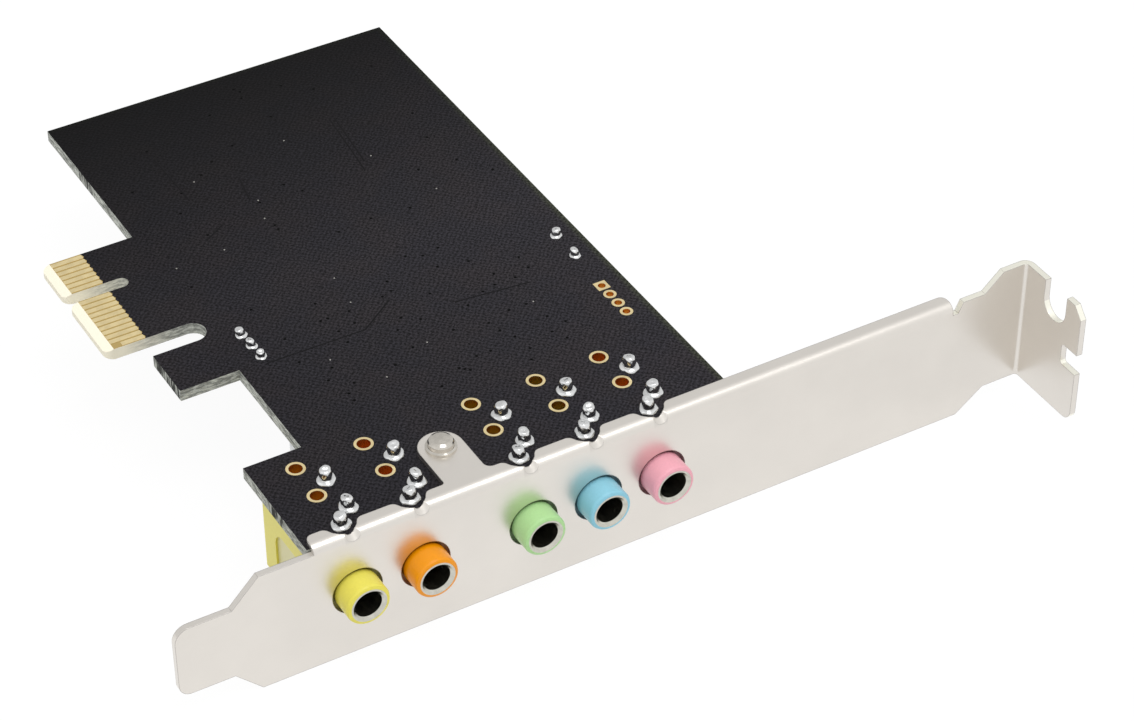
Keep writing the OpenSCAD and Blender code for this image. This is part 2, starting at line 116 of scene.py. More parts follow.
# Zones of vias by first and last corner in x and y, and how many stand in each. The first
# are covered by the mask, and the second have solder in them and glint
VIA_ZONES = [((32, 17), (68, 46), 55), ((27, 50), (73, 93), 30)]
OPEN_VIA_ZONES = [((32, 17), (68, 46), 6), ((27, 50), (68, 90), 8)]
VIA_SEED, OPEN_VIA_SEED = 3, 8
# How far vias, open vias and tracks rise above the board
VIA_RISE, OPEN_VIA_RISE, TRACK_RISE = 0.015, 0.03, 0.012
# Both ends of each track that stands out under the mask
TRACKS = [((35.1, 80.4), (35.2, 69.9)), ((59.6, 77.2), (58.3, 64.5)), ((29, 34.3), (42.5, 34.1)),
          ((42.5, 34.1), (48, 38)), ((54.9, 33.4), (65.1, 32.2)), ((43, 70.8), (42.1, 66.1)),
          ((33.5, 61), (36.6, 63)), ((60.3, 77.2), (59.2, 66.5))]
# The studio in metres of the row's frame: half the side of the floor, the side of a
# softbox, the places of the two, and the point that they look at
FLOOR_HALF = 3.0
SOFTBOX = 0.5
KEY_PLACE = (0.0, -0.3, 0.95)
SIDE_PLACE = (-0.85, 0.1, 0.5)
AIM = (-0.06, 0.03, 0.0)


def row(value, axis):
    """A card coordinate along one axis, in metres of the row's frame."""
    return (value - ORIGIN[axis]) * MM


def linear(hex_colour):
    """Linear red, green, blue and alpha of an sRGB hex colour."""
    value = np.array([int(hex_colour[i:i + 2], 16) for i in (1, 3, 5)]) / 255
    rgb = np.where(value <= 0.04045, value / 12.92, ((value + 0.055) / 1.055) ** 2.4)
    return (*rgb.tolist(), 1.0)


def rgba(colour):
    """A colour property as the four numbers that a node's colour socket takes."""
    return (*colour, 1.0)


def colour_property(name, about, hex_colour):
    """A colour for the panel, with its default in hex."""
    return FloatVectorProperty(name=name, description=about, subtype="COLOR", size=3,
                               min=0, max=1, default=linear(hex_colour)[:3])


class CardFinish(bpy.types.PropertyGroup):
    """Colours of the card's materials."""
    mask: colour_property("Solder mask", "Matt black lacquer on the board", "#171619")
    violet: colour_property("Mask tint", "Where the lacquer lies thicker", "#191719")
    olive: colour_property("Mask border", "Thin lacquer along the board's edges", "#20221a")
    laminate: colour_property("Laminate", "Cut edge of the glass and resin board", "#cfd2ca")
    bare: colour_property("Bare laminate", "Laminate of the contact tab", "#f8f2de")
    gold: colour_property("Gold", "Plating of the contacts and rings", "#f9e5b0")
    nickel: colour_property("Nickel", "Plating of the bracket", "#e6e1da")
    tin: colour_property("Tin", "Solder and tinned leads", "#e3e4e4")
    lime: colour_property("Lime", "First jack", "#efe45e")
    orange: colour_property("Orange", "Second jack", "#f89c00")
    green: colour_property("Green", "Third jack", "#b4e29c")
    blue: colour_property("Blue", "Fourth jack", "#90d0e4")
    pink: colour_property("Pink", "Fifth jack", "#f8b0be")
    resin: colour_property("Resin", "Bare board between the contacts", "#ad9660")
    # Painted shade inside the plated holes: a dark amber for their gold
    hole_shade: FloatVectorProperty(name="Amber", description="Gold inside the plated holes",
                               subtype="COLOR", default=(0.7, 0.36, 0.08))
    # Painted highlight: near white for the flange's cut edges that face up or down
    cut: colour_property("Cut", "Cut edges of the bracket's flange", "#fdfbee")
    rivet: colour_property("Rivet", "Nickel plating of the rivet", "#d2cdc4")
    sleeve: colour_property("Sleeve", "Nickel plating of the jacks' sleeves", "#cfcdc2")
    bronze: colour_property("Bronze", "Leaf springs in the jacks", "#d6b56a")
    via: colour_property("Via", "Lacquer sunk into a via", "#050505")
    track: colour_property("Track", "Lacquer over copper", "#161517")
    open_via: colour_property("Open via", "Solder in a via", "#a8a6a0")
    epoxy: colour_property("Epoxy", "Chips and the regulator", "#28282a")
    lead: FloatVectorProperty(name="Lead", description="Tinned leads of the regulator",
                              subtype="COLOR", default=(0.75, 0.75, 0.74))
    crystal: colour_property("Crystal", "Nickel silver cans of the crystals", "#cfcdc8")
    aluminium: colour_property("Aluminium", "Capacitor cans", "#d3d5d6")
    base: colour_property("Base", "Plastic bases of the capacitors", "#2a2a2b")
    ceramic: colour_property("Ceramic", "Chip capacitors", "#a98a5e")
    ceramic_pale: colour_property("Pale ceramic", "Their paler grain", "#bd9f72")
    film: colour_property("Film", "Chip resistors", "#202022")
    film_pale: colour_property("Pale film", "Their paler grain", "#2c2c2f")


class CardSurface(bpy.types.PropertyGroup):
    """Sizes of the fine surfaces, in millimetres."""
    weave: FloatProperty(name="Weave", description="Width of one glass yarn under the mask",
                         default=0.4, min=0.2, max=1.5)
    fillet: FloatProperty(name="Solder foot", description="Radius of a jack joint's foot",
                          default=1.3, min=0.8, max=1.5)
    joint: FloatProperty(name="Joint height", description="Height of a jack joint",
                         default=1.8, min=1.75, max=2.2)
    bead: FloatProperty(name="Bead", description="Radius of a jack joint's bead",
                        default=0.84, min=0.5, max=1.2)
    lead_foot: FloatProperty(name="Lead foot", description="Radius of a lead joint's foot",
                             default=0.8, min=0.5, max=1.0)
    lead_joint: FloatProperty(name="Lead joint height", description="Height of a lead joint",
                              default=1.05, min=0.9, max=1.4)
    lead_bead: FloatProperty(name="Lead bead", description="Radius of a lead joint's bead",
                             default=0.58, min=0.4, max=0.8)
    via: FloatProperty(name="Via", description="Radius of a covered via",
                       default=0.22, min=0.1, max=0.4)
    open_via: FloatProperty(name="Open via", description="Radius of a via that glints",
                            default=0.13, min=0.05, max=0.3)
    track: FloatProperty(name="Track", description="Width of a covered track",
                         default=0.3, min=0.1, max=1.0)
    around: IntProperty(name="Points around", description="Points round a solder joint",
                        default=32, min=12, max=64)


class CardStudio(bpy.types.PropertyGroup):
    """Floor, light and camera."""
    floor: FloatProperty(name="Floor", description="Height of the floor", unit="LENGTH",
                         default=-0.00926)
    world: FloatProperty(name="World light", description="Strength of the white surroundings",
                         default=0.75, min=0, max=2)
    key: FloatProperty(name="Key", description="Softbox above the camera", unit="POWER",
                       default=2.6, min=0, max=50)
    side: FloatProperty(name="Side", description="Softbox at the left", unit="POWER",
                        default=0.2, min=0, max=50)
    camera_place: FloatVectorProperty(
        name="Camera place", description="Where the photograph was taken from",
        subtype="TRANSLATION", unit="LENGTH", default=(-0.219, -0.25522, 0.26747))
    camera_turn: FloatVectorProperty(
        name="Camera turn", description="How the camera was held", subtype="EULER",
        default=(0.89140606, 0.00168424, -0.52718103))
    lens: FloatProperty(name="Lens", description="Focal length on a 36 mm sensor, in mm",
                        default=105.98, min=20, max=300)


def add_node(tree, kind, inputs=None, **settings):
    """Adds one node. Settings are its own properties. Inputs are its sockets by name or
    number, each with a value or with the output socket that feeds it."""
    node = tree.nodes.new(kind)
    for name, value in settings.items():
        setattr(node, name, value)
    for key, value in (inputs or {}).items():
        if isinstance(value, bpy.types.NodeSocket):
            tree.links.new(value, node.inputs[key])
        else:
            node.inputs[key].default_value = value
    return node


def new_material(name, **sockets):
    """An empty material with one Principled shader: its tree, the shader and the object's
    own coordinates in metres."""
    material = bpy.data.materials.new(name)
    material.use_nodes = True
    tree = material.node_tree
    tree.nodes.clear()
    shader = add_node(tree, "ShaderNodeBsdfPrincipled", sockets)
    add_node(tree, "ShaderNodeOutputMaterial", {"Surface": shader.outputs[0]})
    place = add_node(tree, "ShaderNodeTexCoord").outputs["Object"]
    return material, tree, shader, place


def paint(node, material):
    """Gives a CAD node its finish."""
    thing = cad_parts[node]
    thing.data.materials.clear()
    thing.data.materials.append(material)


def closed_surface(name, rings, material, smooth=True):
    """One mesh of many closed shapes. rings holds the points of each shape in card
    coordinates: shape, row along its profile, point round it. Each row is joined to the
    next by quads all the way round, and the first and last rows are closed by one face."""
    shapes, rows, cols = rings.shape[:3]
    points = (rings.reshape(-1, 3) - ORIGIN) * MM
    first = (np.arange(shapes) * rows * cols)[:, None, None]
    level = (np.arange(rows - 1) * cols)[None, :, None]
    point = np.arange(cols)[None, None, :]
    a = first + level + point
    b = first + level + (point + 1) % cols
    quads = np.stack([a, b, b + cols, a + cols], -1).reshape(-1, 4)
    start = first[:, 0] + np.arange(cols)[::-1]
    end = first[:, 0] + (rows - 1) * cols + np.arange(cols)
    mesh = bpy.data.meshes.new(name)
    mesh.from_pydata(points.tolist(), [], quads.tolist() + start.tolist() + end.tolist())
    mesh.polygons.foreach_set("use_smooth", np.full(len(mesh.polygons), smooth))
    mesh.materials.append(material)
    mesh.update()
    piece = bpy.data.objects.new(name, mesh)
    bpy.context.scene.collection.objects.link(piece)
    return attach(piece, "root")


def mask_lacquer(tree, place, axes, finish, surface):
    """Colour and height of the lacquer: the glass weave shows through as crossed ridges, the
    lacquer flows unevenly, and it lies thinner along two of the board's edges. The ridges and
    fine specks are also painted lighter into the colour as painted glints, and a painted sheen
    makes the lacquer paler towards the bracket and the long edge."""
    # The yarns wander by a few tenths of a millimetre
    wander = add_node(tree, "ShaderNodeTexNoise", {"Vector": place, "Scale": 800.0,
                      "Detail": 2.0}).outputs["Color"]
    moved = add_node(tree, "ShaderNodeVectorMath", {0: wander, 1: (0.0012, 0.0012, 0.0012),
                     2: place}, operation="MULTIPLY_ADD").outputs[0]
    yarns = add_node(tree, "ShaderNodeSeparateXYZ", {0: moved}).outputs
    # One product of two sines makes the over and under of the yarns
    turn = float(np.pi / (surface.weave * MM))
    waves = [add_node(tree, "ShaderNodeMath", {0: add_node(tree, "ShaderNodeMath", {
        0: axis, 1: turn}, operation="MULTIPLY").outputs[0]}, operation="SINE").outputs[0]
        for axis in yarns[:2]]
    weave = add_node(tree, "ShaderNodeMath", {0: waves[0], 1: waves[1]},
                     operation="MULTIPLY").outputs[0]
    # Uneven flow of the lacquer, a few millimetres across
    flow = add_node(tree, "ShaderNodeTexNoise", {"Vector": place, "Scale": 110.0,
                    "Detail": 3.0, "Roughness": 0.6}).outputs[0]
    glint_specks = add_node(tree, "ShaderNodeTexNoise", {"Vector": place, "Scale": 4200.0,
                      "Detail": 2.0, "Roughness": 0.7}).outputs[0]
    height = add_node(tree, "ShaderNodeMath", {0: weave, 1: 0.16, 2: glint_specks},
                      operation="MULTIPLY_ADD").outputs[0]
    # Painted glints: where the weave's ridges and the specks rise, the colour is painted lighter,
    # up to twice its own
    light = add_node(tree, "ShaderNodeMapRange", {0: height, 1: 0.3, 2: 0.75, 3: 0.3, 4: 2.0})
    tinted = add_node(tree, "ShaderNodeMix", {
        0: add_node(tree, "ShaderNodeMapRange", {0: flow, 1: 0.42, 2: 0.62}).outputs[0],
        6: rgba(finish.mask), 7: rgba(finish.violet)}, data_type="RGBA").outputs[2]
    ends = [add_node(tree, "ShaderNodeMapRange", {0: axes[axis], 1: row(first, axis),
                     2: row(last, axis)}).outputs[0]
            for axis, (first, last) in enumerate(BORDER)]
    border = add_node(tree, "ShaderNodeMath", {0: ends[0], 1: ends[1]},
                      operation="MAXIMUM").outputs[0]
    tinted = add_node(tree, "ShaderNodeMix", {0: border, 6: tinted, 7: rgba(finish.olive)},
                      data_type="RGBA").outputs[2]
    # Painted sheen: the lacquer is painted paler towards the bracket and the long edge
    painted_sheen = add_node(tree, "ShaderNodeMapRange", {0: axes[1], 1: row(PALER[1][0], 1),
                    2: row(PALER[1][1], 1), 3: 0.28, 4: 1.85}).outputs[0]
    long = add_node(tree, "ShaderNodeMapRange", {0: axes[0], 1: row(PALER[0][0], 0),
                    2: row(PALER[0][1], 0), 3: 1.0, 4: 1.35}).outputs[0]
    painted_sheen = add_node(tree, "ShaderNodeMath", {0: painted_sheen, 1: long},
                    operation="MULTIPLY").outputs[0]
    light = add_node(tree, "ShaderNodeMath", {0: light.outputs[0], 1: painted_sheen},
                     operation="MULTIPLY")
    mask = add_node(tree, "ShaderNodeVectorMath", {0: tinted, "Scale": light.outputs[0]},
                    operation="SCALE").outputs[0]
    return mask, height


def cut_edge(tree, place, axes, finish):
    """Colour and grain of the board's edge: layers of glass in resin, torn in places, and
    cream round the contact tab."""
    # Layers of glass cloth in the cut edge: noise drawn out along the edge
    drawn = add_node(tree, "ShaderNodeMapping", {"Vector": place, "Scale": (1, 1, 5)})
    fibre = add_node(tree, "ShaderNodeTexNoise", {"Vector": drawn.outputs[0], "Scale": 700.0,
                     "Detail": 6.0, "Roughness": 0.75}).outputs[0]
    # Torn places beside the contact tab: upright splinters half a millimetre wide
    upright = add_node(tree, "ShaderNodeMapping", {"Vector": place, "Scale": (1, 1, 0.25)})
    splinters = add_node(tree, "ShaderNodeTexNoise", {"Vector": upright.outputs[0],
                         "Scale": 1600.0, "Detail": 3.0}).outputs[0]
    torn = [add_node(tree, "ShaderNodeMath", {0: axes[1], 1: row(middle, 1),
                     2: half * MM}, operation="COMPARE").outputs[0]
            for middle, half in TORN]
    torn = add_node(tree, "ShaderNodeMath", {0: torn[0], 1: add_node(tree, "ShaderNodeMath", {
        0: torn[1], 1: torn[2]}, operation="MAXIMUM").outputs[0]}, operation="MAXIMUM")
    left = add_node(tree, "ShaderNodeMath", {0: axes[0], 1: row(TORN_BEFORE, 0)},
                    operation="LESS_THAN").outputs[0]
    torn = add_node(tree, "ShaderNodeMath", {0: torn.outputs[0], 1: left},
                    operation="MULTIPLY").outputs[0]
    grain = add_node(tree, "ShaderNodeMix", {0: torn, 2: fibre, 3: splinters}).outputs[0]
    least = add_node(tree, "ShaderNodeMapRange", {0: torn, 3: 0.35, 4: 0.08}).outputs[0]
    most = add_node(tree, "ShaderNodeMapRange", {0: torn, 3: 1.0, 4: 0.75}).outputs[0]
    shade = add_node(tree, "ShaderNodeMapRange", {0: grain, 1: 0.44, 2: 0.58, 3: least,
                     4: most})
    cream = add_node(tree, "ShaderNodeMapRange", {0: axes[0], 1: row(CREAM_X[0], 0),
                     2: row(CREAM_X[1], 0)}).outputs[0]
    cream = add_node(tree, "ShaderNodeMath", {0: cream, 1: add_node(tree, "ShaderNodeMath", {
        0: axes[1], 1: row(TAB_Y, 1)}, operation="GREATER_THAN").outputs[0]},
        operation="MULTIPLY").outputs[0]
    shade = add_node(tree, "ShaderNodeMix", {0: cream, 2: shade.outputs[0], 3: 1.0}).outputs[0]
    edge = add_node(tree, "ShaderNodeMix", {0: cream, 6: rgba(finish.laminate),
                    7: rgba(finish.bare)}, data_type="RGBA").outputs[2]
    edge = add_node(tree, "ShaderNodeVectorMath", {0: edge, "Scale": shade},
                    operation="SCALE").outputs[0]
    return edge, grain


def masked_faces(tree, axes):
    """Where a face is one of the board's two flat ones, and where such a face carries the
    mask, which starts in scallops at the contacts' ends."""
    top = add_node(tree, "ShaderNodeMath", {0: axes[2], 1: row(BOARD_TOP - MASK_SKIN, 2)},
                   operation="GREATER_THAN").outputs[0]
    low = add_node(tree, "ShaderNodeMath", {0: axes[2], 1: row(BOARD_LOW + MASK_SKIN, 2)},
                   operation="LESS_THAN").outputs[0]
    face = add_node(tree, "ShaderNodeMath", {0: top, 1: low}, operation="MAXIMUM").outputs[0]
    scallops = add_node(tree, "ShaderNodeMath", {0: add_node(tree, "ShaderNodeMath", {
        0: axes[1], 1: float(2 * np.pi / MM), 2: float(-2 * np.pi * (CONTACT_Y - ORIGIN[1]))},
        operation="MULTIPLY_ADD").outputs[0]}, operation="COSINE").outputs[0]
    start = add_node(tree, "ShaderNodeMath", {0: scallops, 1: 0.1 * MM,
                     2: row(MASK_X, 0)}, operation="MULTIPLY_ADD").outputs[0]
    inner = add_node(tree, "ShaderNodeMath", {0: axes[0], 1: start},
                     operation="GREATER_THAN").outputs[0]
    near = add_node(tree, "ShaderNodeMath", {0: axes[1], 1: row(TAB_MASK_Y, 1)},
                    operation="LESS_THAN").outputs[0]
    kept = add_node(tree, "ShaderNodeMath", {0: inner, 1: near}, operation="MAXIMUM").outputs[0]
    masked = add_node(tree, "ShaderNodeMath", {0: face, 1: kept},
                      operation="MULTIPLY").outputs[0]
    return face, masked


def solder_mask_board(finish, surface):
    """FR-4 board under a matt black liquid solder mask: nearly black, with the glass weave
    showing through the fine film of lacquer as fine crossed ridges, whose glints are painted
    lighter into the colour, and a painted sheen that pales the lacquer towards the bracket and
    the long edge. Its routed edges are bare laminate, layers of glass in pale resin, cream on the
    contact tab, and torn where the board was broken out of its panel."""
    material, tree, shader, place = new_material("solder_mask_on_fr4", **{
        "IOR": 1.5, "Specular IOR Level": 0.06})
    axes = add_node(tree, "ShaderNodeSeparateXYZ", {0: place}).outputs
    mask, height = mask_lacquer(tree, place, axes, finish, surface)
    edge, grain = cut_edge(tree, place, axes, finish)
    face, masked = masked_faces(tree, axes)
    # Between the contacts the laminate has the brown tint of its resin
    bared = add_node(tree, "ShaderNodeMix", {0: face, 6: edge, 7: rgba(finish.resin)},
                     data_type="RGBA").outputs[2]
    colour = add_node(tree, "ShaderNodeMix", {0: masked, 6: bared, 7: mask},
                      data_type="RGBA").outputs[2]
    tree.links.new(colour, shader.inputs["Base Color"])
    rough = add_node(tree, "ShaderNodeMapRange", {0: masked, 3: 0.75, 4: 0.45}).outputs[0]
    tree.links.new(rough, shader.inputs["Roughness"])
    relief = add_node(tree, "ShaderNodeMix", {0: masked, 2: grain, 3: height}).outputs[0]
    bump = add_node(tree, "ShaderNodeBump", {"Strength": 0.5, "Distance": 0.00006,
                    "Height": relief}).outputs[0]
    tree.links.new(bump, shader.inputs["Normal"])
    return material


def gold_plate(finish):
    """Immersion gold over nickel: pale, satin, slightly uneven, warmer where it is thicker."""
    material, tree, shader, place = new_material("immersion_gold", Metallic=1.0)
    noise = add_node(tree, "ShaderNodeTexNoise", {"Vector": place, "Scale": 900.0,
                     "Detail": 3.0}).outputs[0]
    colour = add_node(tree, "ShaderNodeMix", {
        0: add_node(tree, "ShaderNodeMapRange", {0: noise, 1: 0.35, 2: 0.65}).outputs[0],
        6: rgba(finish.gold), 7: (*[0.86 * c for c in finish.gold], 1)},
        data_type="RGBA").outputs[2]
    # Painted shade: inside the plated holes, where no light comes, the gold is painted dark amber
    high = add_node(tree, "ShaderNodeSeparateXYZ", {0: place}).outputs[2]
    within = add_node(tree, "ShaderNodeMath", {0: high, 1: row((BOARD_TOP + BOARD_LOW) / 2, 2),
                      2: HOLE_SHADE_HALF * MM}, operation="COMPARE").outputs[0]
    colour = add_node(tree, "ShaderNodeMix", {0: within, 6: colour, 7: rgba(finish.hole_shade)},
                      data_type="RGBA").outputs[2]
    tree.links.new(colour, shader.inputs["Base Color"])
    rough = add_node(tree, "ShaderNodeMapRange", {0: noise, 3: 0.25, 4: 0.42}).outputs[0]
    tree.links.new(rough, shader.inputs["Roughness"])
    bump = add_node(tree, "ShaderNodeBump", {"Strength": 0.2, "Distance": 0.00002,
                    "Height": noise}).outputs[0]
    tree.links.new(bump, shader.inputs["Normal"])
    return material


def nickel_plated_steel(finish):
    """Cold-rolled steel with unbrightened nickel plate: warm white, satin, with the faint pits
    and drawn-out grain of the rolled strip, so that reflections blur within a few millimetres.
    Painted shade darkens the bend at the jacks' dents and the rolled edges, and a painted
    highlight whitens the flange's cut edges."""
    material, tree, shader, place = new_material("nickel_plated_steel", Metallic=1.0)
    # Rolling grain runs along the strip, about 0.1 mm wide, drawn coarser so that it shows
    drawn = add_node(tree, "ShaderNodeMapping", {"Vector": place, "Scale": (0.12, 1, 1)})
    grain = add_node(tree, "ShaderNodeTexNoise", {"Vector": drawn.outputs[0],
                     "Scale": 4500.0, "Detail": 4.0, "Roughness": 0.6}).outputs[0]
    cloud = add_node(tree, "ShaderNodeTexNoise", {"Vector": place, "Scale": 90.0,
                     "Detail": 3.0}).outputs[0]
    colour = add_node(tree, "ShaderNodeMix", {
        0: add_node(tree, "ShaderNodeMapRange", {0: cloud, 1: 0.3, 2: 0.7}).outputs[0],
        6: rgba(finish.nickel), 7: (*[0.95 * c for c in finish.nickel], 1)},
        data_type="RGBA").outputs[2]
    # Painted shade: over the dents that the press tool left in the bend in front of each jack,
    # the plate is painted darker
    axes = add_node(tree, "ShaderNodeSeparateXYZ", {0: place}).outputs
    dents = [add_node(tree, "ShaderNodeMath", {0: axes[0], 1: row(x + DENT[0], 0),
             2: DENT[1] * MM}, operation="COMPARE").outputs[0] for x in JACK_X]
    dent_shade = dents[0]
    for dent in dents[1:]:
        dent_shade = add_node(tree, "ShaderNodeMath", {0: dent_shade, 1: dent},
                        operation="MAXIMUM").outputs[0]
    bend = add_node(tree, "ShaderNodeMapRange", {0: axes[2], 1: row(DENT_Z[0], 2),
                    2: row(DENT_Z[1], 2)}).outputs[0]
    dent_shade = add_node(tree, "ShaderNodeMath", {0: dent_shade, 1: bend},
                    operation="MULTIPLY").outputs[0]
    colour = add_node(tree, "ShaderNodeMix", {0: dent_shade, 6: colour, 7: (
        *[0.9 * c for c in finish.nickel], 1)}, data_type="RGBA").outputs[2]
    # The sheared edges are rolled over by about 0.15 mm, and where the rolled normal turns away
    # they are painted darker as painted shade; beside the flange the cut edges that face up or
    # down are painted near white as a painted highlight
    rolled = add_node(tree, "ShaderNodeBevel", {"Radius": 0.15 * MM}, samples=6).outputs[0]
    facing = add_node(tree, "ShaderNodeNewGeometry").outputs["True Normal"]
    turned = add_node(tree, "ShaderNodeVectorMath", {0: rolled, 1: facing},
                      operation="DOT_PRODUCT").outputs["Value"]
    edge_shade = add_node(tree, "ShaderNodeMapRange", {0: turned, 1: 0.998, 2: 0.93, 3: 0.0,
                    4: 0.75}).outputs[0]
    up = add_node(tree, "ShaderNodeMath", {0: add_node(tree, "ShaderNodeSeparateXYZ", {
        0: facing}).outputs[2]}, operation="ABSOLUTE").outputs[0]
    cut = add_node(tree, "ShaderNodeMath", {0: add_node(tree, "ShaderNodeMath", {
        0: up, 1: 0.3}, operation="GREATER_THAN").outputs[0], 1: add_node(
        tree, "ShaderNodeMath", {0: axes[0], 1: row(FLANGE_X, 0)},
        operation="GREATER_THAN").outputs[0]}, operation="MULTIPLY").outputs[0]
    colour = add_node(tree, "ShaderNodeMix", {0: cut, 6: colour, 7: rgba(finish.cut)},
                      data_type="RGBA").outputs[2]
    colour = add_node(tree, "ShaderNodeMix", {0: edge_shade, 6: colour, 7: (
        *[0.45 * c for c in finish.nickel], 1)}, data_type="RGBA").outputs[2]
    tree.links.new(colour, shader.inputs["Base Color"])
    rough = add_node(tree, "ShaderNodeMapRange", {0: grain, 1: 0.3, 2: 0.7, 3: 0.28,
                     4: 0.36}).outputs[0]
    tree.links.new(rough, shader.inputs["Roughness"])
    bump = add_node(tree, "ShaderNodeBump", {"Strength": 0.08, "Distance": 0.00002,
                    "Height": grain, "Normal": rolled}).outputs[0]
    tree.links.new(bump, shader.inputs["Normal"])
    return material


def bright_metal(name, colour, roughness, grain, relief, ends=None):
    """Bright plated or tinned metal: nearly mirror-like, with a faint cloudiness of its
    plating at the grain's size in millimetres. Pins that come through the board may have
    ends of another colour, where the solder has wetted them."""
    material, tree, shader, place = new_material(name, Metallic=1.0)
    noise = add_node(tree, "ShaderNodeTexNoise", {"Vector": place, "Scale": 1 / (grain * MM),
                     "Detail": 3.0}).outputs[0]
    share = add_node(tree, "ShaderNodeMapRange", {0: noise, 1: 0.35, 2: 0.65}).outputs[0]
    tone = add_node(tree, "ShaderNodeMix", {0: share, 6: rgba(colour),
                    7: (*[0.85 * c for c in colour], 1)}, data_type="RGBA").outputs[2]
    if ends is not None:
        high = add_node(tree, "ShaderNodeMath", {0: add_node(
            tree, "ShaderNodeSeparateXYZ", {0: place}).outputs[2],
            1: row(BOARD_TOP - WETTED, 2)}, operation="GREATER_THAN").outputs[0]
        tone = add_node(tree, "ShaderNodeMix", {0: high, 6: tone, 7: rgba(ends)},
                        data_type="RGBA").outputs[2]
    tree.links.new(tone, shader.inputs["Base Color"])
    rough = add_node(tree, "ShaderNodeMapRange", {0: noise, 3: 0.7 * roughness,
                     4: 1.3 * roughness}).outputs[0]
    tree.links.new(rough, shader.inputs["Roughness"])
    bump = add_node(tree, "ShaderNodeBump", {"Strength": relief, "Distance": 0.00005,
                    "Height": noise}).outputs[0]
    tree.links.new(bump, shader.inputs["Normal"])
    return material


def housing_shades(tree, place, tone, colour, jack):
    """A jack housing's tone: darker and browner on the face under the board, and dark in its bore
    and on the face against the bracket, all three painted shade, and greyish in its side windows."""
    axes = add_node(tree, "ShaderNodeSeparateXYZ", {0: place}).outputs
    # Painted shade: above this height, under the board, the housing is painted darker and browner
    under_board_shade = add_node(tree, "ShaderNodeMath", {0: axes[2], 1: row(UNDER_BOARD_SHADE_Z, 2)},
                    operation="GREATER_THAN").outputs[0]
    tone = add_node(tree, "ShaderNodeMix", {0: under_board_shade, 6: tone, 7: (
        0.34 * colour[0], 0.2 * colour[1], 0.03 * colour[2], 1)},
        data_type="RGBA").outputs[2]
    # Painted shade: inside the bore behind the sleeve and on the face against the bracket the
    # housing is painted dark
    aside = add_node(tree, "ShaderNodeVectorMath", {0: place, 1: (
        -row(jack, 0), 0, -row(JACK_Z, 2))}, operation="ADD")
    flat = add_node(tree, "ShaderNodeVectorMath", {0: aside.outputs[0], 1: (1, 0, 1)},
                    operation="MULTIPLY").outputs[0]
    radius = add_node(tree, "ShaderNodeVectorMath", {0: flat},
                      operation="LENGTH").outputs["Value"]
    inside = add_node(tree, "ShaderNodeMath", {0: radius, 1: BORE_R * MM},
                      operation="LESS_THAN").outputs[0]
    behind = add_node(tree, "ShaderNodeMath", {0: axes[1], 1: row(BORE_Y, 1)},
                      operation="GREATER_THAN").outputs[0]
    bore = add_node(tree, "ShaderNodeMath", {0: inside, 1: behind},
                    operation="MULTIPLY").outputs[0]
    seat = add_node(tree, "ShaderNodeMath", {0: axes[1], 1: row(SEAT[0], 1),
                    2: SEAT[1] * MM}, operation="COMPARE").outputs[0]
    for part, share in ((bore, 0.04), (seat, 0.3)):
        tone = add_node(tree, "ShaderNodeMix", {0: part, 6: tone, 7: (
            *[share * c for c in colour], 1)}, data_type="RGBA").outputs[2]
    # The floors of the side windows are left rough and greyish by the mould's slide
    offset = add_node(tree, "ShaderNodeMath", {0: axes[0], 1: row(jack, 0)},
                      operation="SUBTRACT").outputs[0]
    offset = add_node(tree, "ShaderNodeMath", {0: offset}, operation="ABSOLUTE").outputs[0]
    window = add_node(tree, "ShaderNodeMath", {0: offset, 1: WINDOW_OUT * MM, 2: 0.03 * MM},
                      operation="COMPARE").outputs[0]
    tone = add_node(tree, "ShaderNodeMix", {0: window, 6: tone, 7: (
        *[0.5 * c + 0.3 for c in colour], 1)}, data_type="RGBA").outputs[2]
    return tone


def moulded_plastic(name, colour, roughness=0.3, grain=0.25, gloss=0.35, jack=None,
                    leads=None):
    """Moulded PBT or epoxy: even colour with a soft gloss, and the fine spark-eroded grain
    of its mould as a slight orange peel. A jack's housing is given by its axis's x, and a
    body's leads by the x that they end at and their colour."""
    material, tree, shader, place = new_material(name, IOR=1.5, **{
        "Specular IOR Level": gloss})
    noise = add_node(tree, "ShaderNodeTexNoise", {"Vector": place, "Scale": 1 / (grain * MM),
                     "Detail": 2.0}).outputs[0]
    tone = add_node(tree, "ShaderNodeMix", {0: noise, 6: rgba(colour),
                    7: (*[0.88 * c for c in colour], 1)}, data_type="RGBA").outputs[2]
    if jack is not None:
        tone = housing_shades(tree, place, tone, colour, jack)
    if leads is not None:
        before = add_node(tree, "ShaderNodeMath", {0: add_node(
            tree, "ShaderNodeSeparateXYZ", {0: place}).outputs[0],
            1: row(leads[0], 0)}, operation="LESS_THAN").outputs[0]
        tone = add_node(tree, "ShaderNodeMix", {0: before, 6: tone,
                        7: rgba(leads[1])}, data_type="RGBA").outputs[2]
        tree.links.new(before, shader.inputs["Metallic"])
    tree.links.new(tone, shader.inputs["Base Color"])
    rough = add_node(tree, "ShaderNodeMapRange", {0: noise, 3: 0.85 * roughness,
                     4: 1.2 * roughness}).outputs[0]
    tree.links.new(rough, shader.inputs["Roughness"])
    bump = add_node(tree, "ShaderNodeBump", {"Strength": 0.12, "Distance": 0.00003,
                    "Height": noise}).outputs[0]
    tree.links.new(bump, shader.inputs["Normal"])
    return material


